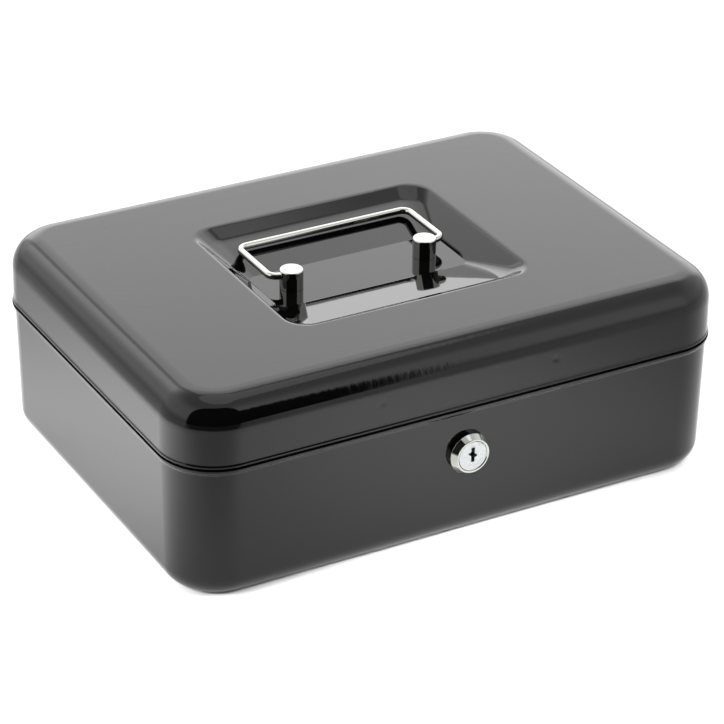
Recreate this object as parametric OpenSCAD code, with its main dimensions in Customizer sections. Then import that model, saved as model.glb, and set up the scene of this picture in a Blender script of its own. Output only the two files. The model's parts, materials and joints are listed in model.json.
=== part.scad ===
// Small steel cash box: a deep-drawn base and lid, a lift-up wire handle in a pressed well,
// a cam lock, a pinned hinge along the rear and a lift-out coin tray.
// Millimetres, +Z up. The origin is the middle of the underside, and the lock faces -Y.

/* [Case] */
// Width over the rim of the base
case_w = 250; // [220:1:300]
// Depth over the rim of the base
case_d = 185; // [170:1:220]
// Height of the closed box
case_h = 88; // [84:1:110]
// Height of the rim of the base
base_h = 59.15; // [57:0.5:66]
// Gap between the base rim and the lid
seam_gap = 1.1; // [1:0.1:1.6]
// Corner radius over the rim, seen from above
corner_r = 24.5; // [20:0.5:30]
// Thickness of the sheet steel
sheet = 1; // [0.8:0.1:1.2]
// Lean of the drawn walls, in degrees
wall_draft = 0.9; // [0.4:0.1:1.4]
// Radius where the base walls turn into the bottom
base_fillet = 9; // [6:0.5:12]
// Radius where the lid walls turn into the top
lid_fillet = 13; // [8:0.5:14]
// How far the rim of the base stands out from its wall
rim_flare = 1.1; // [0.6:0.1:1.6]
// Height of the flared rim of the base
rim_h = 2.2; // [1.6:0.1:3]
// How far the lid wall is set in from the rim of the base
lid_inset = 0.5; // [0.3:0.1:0.8]
// How far the lower edge of the lid is rolled out
lid_roll = 0.3; // [0.1:0.05:0.35]

/* [Bottom panel] */
// Width of the pressed panel in the bottom
panel_w = 186; // [140:1:194]
// Depth of the pressed panel in the bottom
panel_d = 122; // [90:1:130]
// Corner radius of the pressed panel
panel_r = 14; // [6:1:24]
// Height of the pressed panel
panel_rise = 1.2; // [0.8:0.1:2]

/* [Rim frame] */
// Thickness of the frame's sheet
frame_t = 0.8; // [0.6:0.1:1]
// How far the frame stands above the rim of the base
frame_rise = 6.8; // [5:0.1:8]
// Depth of the tray ledge below the rim of the base
ledge_drop = 3.2; // [2:0.1:4]
// Width of the tray ledge
ledge_w = 5.8; // [4.5:0.1:7]

/* [Handle well] */
// Width of the well at the top of the lid
well_w = 111; // [104:1:120]
// Distance from the middle of the lid to the well's front edge
well_front = 49.3; // [48:0.1:56]
// Distance from the middle of the lid to the well's rear edge
well_rear = 48.1; // [47:0.1:56]
// Corner radius of the well at the top of the lid
well_r = 11; // [8:0.5:14]
// Depth of the well
well_depth = 9.35; // [9:0.05:10.5]
// Width of the flat floor of the well
well_floor_w = 88.6; // [86:0.2:92]
// Distance from the middle to the floor's front edge
floor_front = 15; // [13:0.5:17]
// Distance from the middle to the floor's rear edge
floor_rear = 15.4; // [13.5:0.1:16.5]
// Corner radius of the well's floor
floor_r = 4; // [2:0.5:6]
// Width of the steep band along the well's rear edge
rear_band = 8.1; // [6:0.1:10]
// Width of the steep band along the well's front edge
front_band = 5.8; // [4:0.1:8]
// Width of the rounded edge round the well
well_edge = 0.7; // [0.4:0.1:1.2]

/* [Handle] */
// Diameter of the handle posts
post_d = 10; // [9:0.5:11]
// Distance between the post centres
post_span = 62.8; // [56:0.2:66]
// How far the posts stand above the wire
post_cover = 0.6; // [0.4:0.05:1.4]
// Chamfer on top of the posts
post_chamfer = 0.4; // [0.2:0.1:0.8]
// Diameter of the handle wire
wire_d = 3; // [2.6:0.1:3.2]
// Height of the wire above the floor of the well
wire_rise = 6.25; // [6.1:0.05:6.6]
// Distance from the pivot to the grip bar
bail_reach = 31; // [28:0.5:31.5]
// Clearance between the grip bar and the rear slope of the well
grip_gap = 0.95; // [0.6:0.05:1.3]
// Bend radius of the wire's centre line
bend_r = 4; // [3.5:0.1:5]
// How far the wire reaches into each post
wire_in_post = 3.8; // [3:0.1:4.5]
// Radial play of the wire in the posts
wire_play = 0.06; // [0.03:0.01:0.1]

/* [Post fixings] */
// Diameter of the screws under the posts
post_screw_d = 4; // [3:0.5:4]
// Diameter of the post screws' heads
post_screw_head_d = 7; // [6.5:0.1:8]
// Height of the post screws' heads
post_screw_head_h = 2.3; // [1.8:0.1:2.6]
// How far the screws reach into the posts
post_screw_reach = 3.6; // [3:0.1:3.8]
// Diameter of the washers under the posts
post_washer_d = 10; // [9:0.5:12]
// Thickness of the washers under the posts
post_washer_t = 1; // [0.8:0.1:1.2]

/* [Lock] */
// Height of the lock's axis above the bottom
lock_z = 39; // [37:0.5:40]
// Diameter of the lock's bezel at the wall
bezel_d = 18; // [17.5:0.1:19]
// Diameter of the bezel at its rounded front edge
bezel_front_d = 16.1; // [15.6:0.1:17]
// Radius of the bezel's front edge
bezel_round = 0.8; // [0.4:0.1:1]
// How far the bezel stands out
bezel_h = 4.4; // [4:0.1:5]
// Diameter of the lock's barrel
barrel_d = 16; // [15.5:0.5:17]
// Width of the straight foot of the bezel, against the wall
bezel_foot = 0.4; // [0.2:0.1:0.8]
// Length of the barrel behind the bezel
barrel_len = 15; // [14:0.5:16]
// Diameter of the plug's face
plug_face_d = 12.6; // [12.4:0.1:13.2]
// How far the plug's face is set back in the bezel
plug_recess = 0.3; // [0.2:0.1:0.8]
// Thickness of the plug's face
plug_face_t = 2.6; // [2:0.1:3]
// Diameter of the plug's body
plug_d = 11.5; // [11:0.1:12]
// Radial play of the plug in the housing
plug_play = 0.05; // [0.03:0.01:0.1]
// Height of the keyway
key_h = 6.4; // [5.6:0.1:7]
// Width of the keyway's slot
key_w = 1.6; // [1.2:0.1:2]
// How far the middle of the keyway lies above the lock's axis
key_lift = 0.65; // [0:0.05:0.9]
// How far the keyway's wards reach out from its slot
ward_out = 1.1; // [0.8:0.1:1.3]
// Height of a ward where it leaves the slot's middle
ward_h = 2.4; // [1.8:0.1:2.8]
// Height of a ward at its tip
ward_tip = 0.8; // [0.4:0.1:1.4]
// Height from the right ward's middle to the left one's
ward_apart = 1.1; // [0.6:0.1:1.8]
// Size across the flats of the barrel nut
nut_af = 20; // [19:0.5:22]
// Thickness of the barrel nut
nut_t = 4; // [3:0.5:5]
// Thickness of the washer under the barrel nut
lock_washer_t = 1; // [0.8:0.1:1.2]

/* [Wafers] */
// Number of wafers in the plug
wafer_count = 4; // [3:1:5]
// Thickness of a wafer
wafer_t = 0.8; // [0.6:0.1:0.9]
// Width of a wafer
wafer_w = 5.6; // [5:0.1:6]
// Distance from one wafer to the next
wafer_pitch = 2.2; // [1.8:0.1:2.4]
// Play of a wafer in its slot, on each side
wafer_play = 0.1; // [0.05:0.01:0.12]

/* [Cam] */
// Length of the cam from the lock's axis
cam_len = 20; // [19:0.5:22]
// Width of the cam
cam_w = 8; // [7:0.5:9]
// Thickness of the cam
cam_t = 1.5; // [1.2:0.1:2]
// Size of the square on the plug's tail
tail_sq = 5.6; // [5:0.1:6]
// Clearance between the barrel and the cam
cam_gap = 0.3; // [0.2:0.1:0.5]
// Diameter of the screw that holds the cam
cam_screw_d = 3; // [2.5:0.5:3]
// Diameter of the cam screw's head
cam_screw_head_d = 6; // [5:0.5:7]
// Height of the cam screw's head
cam_screw_head_h = 2.2; // [1.6:0.1:2.6]
// Thickness of the washer on the cam
cam_washer_t = 0.8; // [0.5:0.1:1]

/* [Hinge] */
// Length of the hinge
hinge_len = 150; // [120:1:160]
// Number of knuckles
knuckles = 7; // [5:2:9]
// Diameter of the hinge pin
pin_d = 2.8; // [2.4:0.1:3]
// How far the pin stands out at each end of the hinge
pin_over = 0.6; // [0.2:0.1:1]
// Radial play of the pin in the knuckles
pin_play = 0.05; // [0.03:0.01:0.1]
// Thickness of the hinge leaves
leaf_t = 1; // [0.8:0.1:1.2]
// Gap between two knuckles
knuckle_gap = 0.4; // [0.3:0.1:0.6]
// Clearance between the hinge leaf and the rounded part of the lid
leaf_below_fillet = 2.3; // [1:0.1:4]
// How far the rim of the base stands out past the hinge's axis
rim_past_axis = 0.4; // [0.3:0.05:0.5]

/* [Striker] */
// Width of the striker plate where it is welded to the lid
striker_w = 92; // [84:1:100]
// Clearance between the striker plate and the rounded part of the lid
striker_below_fillet = 0.75; // [0.5:0.05:2]
// Thickness of the striker plate
striker_t = 1.2; // [1:0.1:1.5]
// Width of the striker's tongue
tongue_w = 12; // [10:0.5:13]
// Distance from the lock's axis to the near edge of the tongue
tongue_x = 9; // [8.5:0.1:10]
// Length of the catch that goes under the cam
catch_reach = 5.2; // [4.5:0.1:6]
// Clearance between the cam and the tongue
tongue_gap = 0.6; // [0.4:0.1:1]
// Clearance between the locked cam and the catch
catch_gap = 0.4; // [0.3:0.1:0.8]

/* [Coin tray] */
// Clearance between the tray and the rim frame
tray_play = 2; // [1:0.1:3]
// Corner radius of the tray
tray_corner_r = 24; // [20:0.5:26]
// Thickness of the tray's deck
deck_t = 1.8; // [1.5:0.1:2.4]
// Height of the raised edge round the deck
tray_edge_h = 2.2; // [1:0.1:3]
// Thickness of the tray's walls
tray_wall = 1.6; // [1.2:0.1:2]
// Number of coin cups
cups = 5; // [4:1:6]
// Depth of the coin cups and of the long trough
cup_depth = 27; // [22:0.5:28]
// Clearance between the coin cups and the corners of the ledge
cup_play = 1.6; // [1:0.1:4]
// Clearance between the ends of the rows and the ledge
row_play = 2.8; // [2.2:0.1:5]
// Length of the trough, from front to rear
trough_len = 58; // [50:1:60]
// Width of the cut-out for the lock, on its left
notch_left = 18; // [16:0.5:20]
// Width of the cut-out for the lock, on its right
notch_right = 28; // [26:0.5:32]
// Clearance between the lock and the cut-out behind it
notch_gap = 3; // [2:0.5:5]
// Radius of the finger cut-outs in the ends of the deck
finger_r = 9; // [7:0.5:11]

/* [Hidden] */
$fn = 64;
eps = 0.01;
contact_gap = 0.05;
seat_gap = 0.3;

// Case: places of the walls. A radius here is measured from a corner's centre, seen from above.
hx = case_w / 2;
hy = case_d / 2;
corner_x = hx - corner_r;
corner_y = hy - corner_r;
bend_z = base_h - rim_h;
base_r = corner_r - rim_flare;
lid_z = base_h + seam_gap;
lid_r = corner_r - lid_inset;
function base_out(z) = base_r - (bend_z - z) * tan(wall_draft);
function base_in(z) = base_out(z) - sheet;
function lid_in(z) = lid_r - sheet - (z - lid_z) * tan(wall_draft);
lid_curve = min(lid_fillet, 0.47 * (case_h - lid_z));
fillet_z = case_h - lid_curve;
floor_z = sheet + panel_rise;

// Hinge
axis_y = hy - rim_past_axis;
axis_z = base_h + seam_gap / 2;
bore_r = pin_d / 2 + pin_play;
knuckle_r = bore_r + leaf_t;
knuckle_step = hinge_len / knuckles;
leaf_high = fillet_z - leaf_below_fillet;
leaf_low = 2 * axis_z - leaf_high;
base_leaf_y = corner_y + base_in(leaf_low) - contact_gap - leaf_t;
lid_leaf_y = corner_y + lid_in(leaf_high) - contact_gap - leaf_t;
hinge_cut_w = hinge_len + 2 * pin_over + 2 * knuckle_gap;
hinge_cut_r = knuckle_r + 0.5;

// Rim frame
ledge_z = base_h - ledge_drop;
frame_top = base_h + frame_rise;
frame_r = base_in(ledge_z - frame_t) - contact_gap;
frame_front = corner_y + frame_r;
frame_rear = base_leaf_y - 3 * contact_gap;

// Handle well and handle
well_floor_z = case_h - well_depth;
wire_z = well_floor_z + wire_rise;
wire_r = wire_d / 2;
post_h = wire_rise + wire_r + post_cover;
post_x = post_span / 2;
leg_x = post_x + post_d / 2 + bend_r;
grip_y = bail_reach - floor_rear;
rear_angle = atan2(wire_rise, grip_y) - asin((wire_r + grip_gap) / norm([grip_y, wire_rise]));
knee_rear = well_rear - rear_band;
knee_front = well_front - front_band;
knee_z = well_floor_z + (knee_rear - floor_rear) * tan(rear_angle);
under_well = well_floor_z - sheet;
head_top = under_well - post_washer_t;

// Lock: the bezel's back touches the drafted wall at the bezel's upper edge
bezel_r = bezel_d / 2;
bezel_y = -(corner_y + base_out(lock_z + bezel_r));
nut_r = nut_af / 2 / cos(30);
wall_back = bezel_y + corner_y + base_in(lock_z - nut_r) - contact_gap;
cam_front = -barrel_len - cam_gap;
tail_end = cam_front - cam_t - contact_gap;
cam_screw_reach = cam_washer_t + cam_t + 0.8;
cam_rear_y = bezel_y - cam_front + cam_t;
screw_end_y = bezel_y - tail_end + cam_washer_t + cam_screw_head_h;

// Striker
flange_z = frame_top + seat_gap;
flange_top = fillet_z - striker_below_fillet;
flange_y = -(corner_y + lid_in(flange_top)) + contact_gap;
tongue_y = cam_rear_y + tongue_gap;
catch_top = lock_z - cam_w / 2 - catch_gap;

// Coin tray
tray_x = corner_x + frame_r - frame_t - tray_play;
tray_front = frame_front - frame_t - tray_play;
tray_rear = frame_rear - frame_t - tray_play;
deck_z = ledge_z + contact_gap;
deck_top = deck_z + deck_t;
notch_y = screw_end_y + notch_gap;
row_x = corner_x + frame_r - ledge_w - row_play - tray_wall;
trough_y = notch_y + tray_wall + trough_len / 2 + 1;
cup_front = trough_y + trough_len / 2 + tray_wall + 1;
ledge_corner_r = frame_r - ledge_w;
cup_corner_x = row_x + tray_wall - corner_x;
cup_rear = frame_rear - frame_r + sqrt(pow(ledge_corner_r, 2) - pow(cup_corner_x, 2)) - tray_wall - cup_play;
cup_len = cup_rear - cup_front;
cup_y = (cup_front + cup_rear) / 2;
cup_step = (2 * row_x + tray_wall) / cups;

// ---- Shared shapes ----

// Rounded rectangle with its middle at the origin
module rounded_rect(w, d, r) {
    square([w, d - 2 * r], center = true);
    square([w - 2 * r, d], center = true);
    for (x = [-1, 1], y = [-1, 1])
        translate([x * (w / 2 - r), y * (d / 2 - r)]) circle(r);
}

// Half section of a drawn pan, filled: flat bottom, fillet and drafted wall up to its edge
module pan_section(edge_r, edge_z, fillet) {
    foot_r = edge_r - edge_z * tan(wall_draft);
    fillet_x = foot_r + fillet * tan(wall_draft) - fillet / cos(wall_draft);
    polygon([
        [0, 0],
        [fillet_x, 0],
        [fillet_x + fillet * cos(wall_draft), fillet * (1 - sin(wall_draft))],
        [edge_r, edge_z],
        [0, edge_z]
    ]);
    intersection() {
        translate([fillet_x, fillet]) circle(fillet);
        translate([fillet_x, 0]) square([fillet, fillet]);
    }
}

// Half section of a drawn pan's sheet
module pan_wall(edge_r, edge_z, fillet) {
    difference() {
        pan_section(edge_r, edge_z, fillet);
        translate([0, sheet]) pan_section(edge_r - sheet, edge_z, fillet - sheet);
    }
}

// Sweeps a half section round a rounded rectangle. mid_x and mid_y place the corner centres
module sweep_round(mid_x, mid_y) {
    for (side = [0, 1]) {
        rotate([0, 0, 180 * side]) {
            translate([mid_x, 0, 0])
                rotate([90, 0, 0])
                    linear_extrude(height = 2 * mid_y, center = true) children();
            translate([0, mid_y, 0])
                rotate([90, 0, 90])
                    linear_extrude(height = 2 * mid_x, center = true) children();
            translate([mid_x, mid_y, 0])
                rotate_extrude(angle = 90) children();
            translate([-mid_x, mid_y, 0])
                rotate([0, 0, 90])
                    rotate_extrude(angle = 90) children();
        }
    }
}

// ---- Base ----

// Flared rim along the top of the base wall
module rim_section() {
    polygon([
        [base_r - sheet, bend_z - eps],
        [base_r, bend_z - eps],
        [base_r + rim_flare, bend_z + rim_flare],
        [base_r + rim_flare, base_h],
        [base_r + rim_flare - sheet, base_h],
        [base_r + rim_flare - sheet, bend_z + rim_flare + sheet / 3],
        [base_r - sheet, bend_z + sheet / 3]
    ]);
}

module base_shell() {
    color([0.07, 0.07, 0.08])
    difference() {
        union() {
            sweep_round(corner_x, corner_y) {
                pan_wall(base_r, bend_z, base_fillet);
                rim_section();
            }
            linear_extrude(sheet) square([2 * corner_x, 2 * corner_y], center = true);
            linear_extrude(sheet + panel_rise)
                rounded_rect(panel_w + 2 * sheet, panel_d + 2 * sheet, panel_r + sheet);
        }
        translate([0, 0, -1])
            linear_extrude(1 + panel_rise) rounded_rect(panel_w, panel_d, panel_r);
        translate([0, -hy + corner_r / 2, lock_z])
            rotate([90, 0, 0]) cylinder(d = barrel_d + 0.2, h = corner_r);
        hinge_cut(axis_z - hinge_cut_r, base_h + 1);
    }
}

// Room for the hinge's knuckles in a rear edge
module hinge_cut(z_low, z_high) {
    translate([-hinge_cut_w / 2, corner_y + base_r - 3 * sheet, z_low])
        cube([hinge_cut_w, corner_r, z_high - z_low]);
}

// Outline of the rim frame, drawn in from its outer face
module frame_outline(inset) {
    rounded_rect(
        2 * (corner_x + frame_r - inset),
        frame_front + frame_rear - 2 * inset,
        frame_r - inset
    );
}

// Welded frame inside the rim: the lid closes over it and the tray rests on its ledge
module rim_frame() {
    color([0.1, 0.1, 0.11])
    translate([0, (frame_rear - frame_front) / 2, 0])
    difference() {
        translate([0, 0, ledge_z - frame_t])
            linear_extrude(frame_top - ledge_z + frame_t) frame_outline(0);
        translate([0, 0, ledge_z])
            linear_extrude(frame_top) frame_outline(frame_t);
        translate([0, 0, ledge_z - 2 * frame_t])
            linear_extrude(frame_top) frame_outline(ledge_w);
    }
}

// ---- Lock ----

// Places a part on the lock's axis, with its own +Z pointing out of the box
module on_lock() {
    translate([0, bezel_y, lock_z]) rotate([90, 0, 0]) children();
}

module lock_housing() {
    face_r = plug_face_d / 2 + plug_play;
    round_r = bezel_front_d / 2 - bezel_round;
    seat_z = bezel_h - plug_recess - plug_face_t - contact_gap;
    color([0.72, 0.72, 0.74])
    on_lock()
    difference() {
        union() {
            rotate_extrude()
                polygon([
                    [0, 0],
                    [bezel_r, 0],
                    [bezel_r, bezel_foot],
                    for (a = [0 : 22.5 : 90])
                        [round_r + bezel_round * cos(a), bezel_h - bezel_round + bezel_round * sin(a)],
                    [0, bezel_h]
                ]);
            translate([0, 0, -barrel_len]) cylinder(d = barrel_d, h = barrel_len + eps);
        }
        translate([0, 0, seat_z]) cylinder(r = face_r, h = bezel_h);
        translate([0, 0, -barrel_len - 1])
            cylinder(r = plug_d / 2 + plug_play, h = barrel_len + bezel_h);
    }
}

module lock_washer() {
    color([0.6, 0.6, 0.62])
    on_lock()
        translate([0, 0, wall_back - lock_washer_t])
            difference() {
                cylinder(r = nut_r, h = lock_washer_t);
                translate([0, 0, -1]) cylinder(d = barrel_d + 0.3, h = lock_washer_t + 2);
            }
}

module lock_nut() {
    color([0.65, 0.63, 0.58])
    on_lock()
        translate([0, 0, wall_back - lock_washer_t - contact_gap - nut_t])
            difference() {
                cylinder(r = nut_r, h = nut_t, $fn = 6);
                translate([0, 0, -1]) cylinder(d = barrel_d + 0.1, h = nut_t + 2);
            }
}

// Keyway: an upright slot with a tapered ward on each side, the left one higher
module keyway_section() {
    tip_x = key_w / 2 + ward_out;
    translate([0, key_lift]) {
        square([key_w, key_h], center = true);
        for (side = [-1, 1])
            translate([0, -side * ward_apart / 2])
                polygon([
                    [0, -ward_h / 2],
                    [side * tip_x, -ward_tip / 2],
                    [side * tip_x, ward_tip / 2],
                    [0, ward_h / 2]
                ]);
    }
}

function wafer_z(i) = -3.2 - wafer_pitch * i - wafer_t / 2;
spring_x = wafer_w / 2 + 1;
spring_low = -2.4;
spring_high = 0.9;
lug_top = spring_high + 0.7;
spring_r = 0.55;

module lock_plug() {
    face_z = bezel_h - plug_recess;
    slot_t = wafer_t + 2 * wafer_play;
    slot_w = wafer_w + 2 * wafer_play;
    color([0.78, 0.78, 0.8])
    on_lock()
    difference() {
        union() {
            translate([0, 0, face_z - plug_face_t]) cylinder(d = plug_face_d, h = plug_face_t);
            translate([0, 0, -barrel_len])
                cylinder(d = plug_d, h = barrel_len + face_z - plug_face_t + eps);
            translate([-tail_sq / 2, -tail_sq / 2, tail_end])
                cube([tail_sq, tail_sq, -barrel_len - tail_end + eps]);
        }
        translate([0, 0, wafer_z(wafer_count - 1) - 0.6])
            linear_extrude(barrel_len + bezel_h) keyway_section();
        for (i = [0 : wafer_count - 1])
            translate([0, 0, wafer_z(i) - slot_t / 2]) {
                translate([-slot_w / 2, -plug_d, 0]) cube([slot_w, 2 * plug_d, slot_t]);
                translate([0, spring_low - wafer_play, 0])
                    cube([spring_x + spring_r + 0.2, lug_top - spring_low + 3 * wafer_play, slot_t]);
            }
        translate([0, 0, tail_end - cam_washer_t])
            cylinder(d = cam_screw_d + 0.1, h = cam_screw_reach + seat_gap);
    }
}

// Wafers drawn in to the surface of the plug, as the key holds them
module lock_wafers() {
    window_w = key_w + 2 * ward_out + 0.2;
    window_h = key_h + 0.2;
    color([0.8, 0.68, 0.4])
    on_lock()
    for (i = [0 : wafer_count - 1])
        translate([0, 0, wafer_z(i) - wafer_t / 2])
            linear_extrude(wafer_t)
                difference() {
                    union() {
                        intersection() {
                            square([wafer_w, plug_d], center = true);
                            circle(d = plug_d - 2 * wafer_play);
                        }
                        translate([wafer_w / 2 - eps, spring_high])
                            square([spring_x + spring_r - wafer_w / 2, lug_top - spring_high]);
                    }
                    translate([0, key_lift]) square([window_w, window_h], center = true);
                }
}

// One small coil spring, swept along its helix
module coil_spring(r, wire, length, turns) {
    sides = 6;
    steps = 8 * turns;
    points = [
        for (k = [0 : steps], s = [0 : sides - 1])
            let (turn = 360 * turns * k / steps, side = 360 * s / sides)
            [
                (r + wire / 2 * cos(side)) * cos(turn),
                (r + wire / 2 * cos(side)) * sin(turn),
                wire / 2 + (length - wire) * k / steps + wire / 2 * sin(side)
            ]
    ];
    skin = [
        for (k = [0 : steps - 1], s = [0 : sides - 1])
            let (a = k * sides + s, b = k * sides + (s + 1) % sides)
            [a, b, b + sides, a + sides]
    ];
    low_cap = [[for (s = [sides - 1 : -1 : 0]) s]];
    high_cap = [[for (s = [0 : sides - 1]) steps * sides + s]];
    polyhedron(points = points, faces = concat(skin, low_cap, high_cap), convexity = 6);
}

module wafer_springs() {
    wire = 0.24;
    coil_r = min(spring_r, wafer_t) - wire;
    color([0.75, 0.75, 0.78])
    on_lock()
    for (i = [0 : wafer_count - 1])
        translate([spring_x, spring_low, wafer_z(i)])
            rotate([-90, 0, 0])
                coil_spring(coil_r, wire, spring_high - spring_low - contact_gap, 3);
}

module lock_cam() {
    color([0.7, 0.7, 0.72])
    on_lock()
    translate([0, 0, cam_front - cam_t])
    difference() {
        union() {
            cylinder(d = cam_w + 3, h = cam_t);
            translate([-cam_w / 2, 0, 0]) cube([cam_w, cam_len - cam_w / 2, cam_t]);
            translate([0, cam_len - cam_w / 2, 0]) cylinder(d = cam_w, h = cam_t);
        }
        translate([-tail_sq / 2 - contact_gap, -tail_sq / 2 - contact_gap, -1])
            cube([tail_sq + 2 * contact_gap, tail_sq + 2 * contact_gap, cam_t + 2]);
    }
}

module cam_washer() {
    color([0.75, 0.75, 0.77])
    on_lock()
        translate([0, 0, tail_end - cam_washer_t])
            difference() {
                cylinder(d = cam_w + 1, h = cam_washer_t);
                translate([0, 0, -1]) cylinder(d = cam_screw_d + 0.3, h = cam_washer_t + 2);
            }
}

// Pan-head screw pointing up its own +Z, with the underside of its head at the origin
module pan_screw(d, reach, head_d, head_h) {
    difference() {
        union() {
            cylinder(d = d, h = reach);
            rotate_extrude()
                polygon([
                    [0, -head_h],
                    [head_d * 0.3, -head_h],
                    [head_d * 0.44, -head_h * 0.72],
                    [head_d / 2, -head_h * 0.3],
                    [head_d / 2, 0],
                    [0, 0]
                ]);
        }
        for (turn = [0, 90])
            rotate([0, 0, turn])
                translate([-head_d * 0.28, -0.4, -head_h - 1])
                    cube([head_d * 0.56, 0.8, 1 + head_h * 0.6]);
    }
}

module cam_screw() {
    color([0.75, 0.75, 0.77])
    on_lock()
        translate([0, 0, tail_end - cam_washer_t])
            pan_screw(cam_screw_d, cam_screw_reach, cam_screw_head_d, cam_screw_head_h);
}

// ---- Hinge ----

// True for the knuckles of the base, which take every other place from the ends
function is_base(i) = i % 2 == 0;
function knuckle_x(i) = -hinge_len / 2 + i * knuckle_step;

// A leaf with its knuckles. The plate spans z_low to z_high, with its inner face at plate_y
module hinge_leaf(for_base, plate_y, z_low, z_high) {
    difference() {
        union() {
            translate([-hinge_len / 2, plate_y, z_low])
                cube([hinge_len, leaf_t, z_high - z_low]);
            for (i = [0 : knuckles - 1])
                if (is_base(i) == for_base)
                    translate([knuckle_x(i) + knuckle_gap / 2, axis_y, axis_z])
                        rotate([0, 90, 0]) cylinder(r = knuckle_r, h = knuckle_step - knuckle_gap);
        }
        for (i = [0 : knuckles - 1])
            if (is_base(i) != for_base)
                translate([knuckle_x(i) - knuckle_gap / 2, axis_y, axis_z])
                    rotate([0, 90, 0])
                        cylinder(r = knuckle_r + seat_gap, h = knuckle_step + knuckle_gap);
        translate([-hinge_len, axis_y, axis_z])
            rotate([0, 90, 0]) cylinder(r = bore_r, h = 2 * hinge_len);
    }
}

module hinge_leaf_base() {
    color([0.6, 0.6, 0.62]) hinge_leaf(true, base_leaf_y, leaf_low, axis_z);
}

module hinge_leaf_lid() {
    color([0.6, 0.6, 0.62]) hinge_leaf(false, lid_leaf_y, axis_z, leaf_high);
}

module hinge_pin() {
    color([0.75, 0.75, 0.77])
    translate([-hinge_len / 2 - pin_over, axis_y, axis_z])
        rotate([0, 90, 0]) cylinder(d = pin_d, h = hinge_len + 2 * pin_over);
}

// ---- Lid ----

// Points of a rounded outline, counter-clockwise, between two x and two y values
function outline(x0, x1, y0, y1, r) = [
    for (corner = [[x1 - r, y0 + r, -90], [x1 - r, y1 - r, 0], [x0 + r, y1 - r, 90], [x0 + r, y0 + r, 180]])
        for (k = [0 : 8])
            let (a = corner[2] + 90 * k / 8)
            [corner[0] + r * cos(a), corner[1] + r * sin(a)]
];

// A closed solid through outlines with equal numbers of points, from the lowest up
module loft(outlines, heights) {
    n = len(outlines[0]);
    top = (len(outlines) - 1) * n;
    points = [
        for (k = [0 : len(outlines) - 1], p = outlines[k])
            [p[0], p[1], heights[k]]
    ];
    skin = [
        for (k = [0 : len(outlines) - 2], i = [0 : n - 1])
            let (a = k * n + i, b = k * n + (i + 1) % n)
            each [[a, a + n, b], [b, a + n, b + n]]
    ];
    floor_cap = [[for (i = [0 : n - 1]) i]];
    roof_cap = [[for (i = [n - 1 : -1 : 0]) top + i]];
    polyhedron(points = points, faces = concat(skin, floor_cap, roof_cap), convexity = 4);
}

// The well's room: flat floor, sloping sides, and a crease in the front and rear slopes
module well_room(open_edge) {
    half = well_w / 2;
    knee_half = half - (half - well_floor_w / 2) * (case_h - knee_z) / well_depth;
    loft(
        [
            outline(-well_floor_w / 2, well_floor_w / 2, -floor_front, floor_rear, floor_r),
            outline(-knee_half, knee_half, -knee_front, knee_rear, well_r - 2),
            outline(-half, half, -well_front, well_rear, well_r),
            outline(
                -half - open_edge, half + open_edge,
                -well_front - open_edge, well_rear + open_edge, well_r + open_edge
            )
        ],
        [well_floor_z, knee_z, case_h - open_edge / 2, case_h + open_edge / 4]
    );
}

// Section of the lid's wall and top, upside down until it is placed
module lid_section() {
    roll_h = 1.4;
    translate([0, case_h]) mirror([0, 1]) {
        pan_wall(lid_r, case_h - lid_z, lid_curve);
        translate([lid_r - sheet / 2, case_h - lid_z - roll_h])
            polygon([
                [0, 0],
                [sheet / 2, 0],
                [sheet / 2 + lid_roll, 0.6 * roll_h],
                [sheet / 2 + lid_roll, roll_h],
                [0, roll_h]
            ]);
    }
}

module lid_shell() {
    color([0.07, 0.07, 0.08])
    difference() {
        union() {
            sweep_round(corner_x, corner_y) lid_section();
            translate([0, 0, case_h - sheet])
                linear_extrude(sheet) square([2 * corner_x, 2 * corner_y], center = true);
            translate([0, 0, -sheet])
                intersection() {
                    well_room(well_edge);
                    translate([-hx, -hy, 0]) cube([case_w, case_d, case_h]);
                }
        }
        well_room(well_edge);
        for (x = [-post_x, post_x])
            translate([x, 0, under_well - 1])
                cylinder(d = post_screw_d + 0.5, h = sheet + 2);
        hinge_cut(lid_z - 1, axis_z + hinge_cut_r);
    }
}

// Plate welded inside the lid's front, with a tongue whose catch goes under the cam
module striker_plate() {
    color([0.62, 0.62, 0.64])
    union() {
        translate([-striker_w / 2, flange_y, flange_z])
            cube([striker_w, striker_t, flange_top - flange_z]);
        translate([tongue_x, flange_y, flange_z])
            cube([tongue_w, tongue_y + striker_t - flange_y, striker_t]);
        translate([tongue_x, tongue_y, catch_top - striker_t])
            cube([tongue_w, striker_t, flange_z + striker_t - catch_top + striker_t]);
        translate([tongue_x, tongue_y + striker_t - catch_reach, catch_top - striker_t])
            cube([tongue_w, catch_reach, striker_t]);
    }
}

// ---- Handle ----

// A post on its own axis: side is -1 for the left one and 1 for the right one
module handle_post(side) {
    color([0.85, 0.85, 0.86])
    translate([side * post_x, 0, well_floor_z])
        difference() {
            rotate_extrude()
                polygon([
                    [0, 0],
                    [post_d / 2, 0],
                    [post_d / 2, post_h - post_chamfer],
                    [post_d / 2 - post_chamfer, post_h],
                    [0, post_h]
                ]);
            translate([0, 0, -1]) cylinder(d = post_screw_d + 2 * contact_gap, h = post_screw_reach + 1.3);
            translate([side * (post_d / 2 - wire_in_post - seat_gap), 0, wire_rise])
                rotate([0, side * 90, 0]) cylinder(r = wire_r + wire_play, h = post_d);
        }
}

module handle_post_left() {
    handle_post(-1);
}

module handle_post_right() {
    handle_post(1);
}

module post_washers() {
    color([0.75, 0.75, 0.77])
    for (x = [-post_x, post_x])
        translate([x, 0, head_top])
            difference() {
                cylinder(d = post_washer_d, h = post_washer_t);
                translate([0, 0, -1]) cylinder(d = post_screw_d + 0.3, h = post_washer_t + 2);
            }
}

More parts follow.
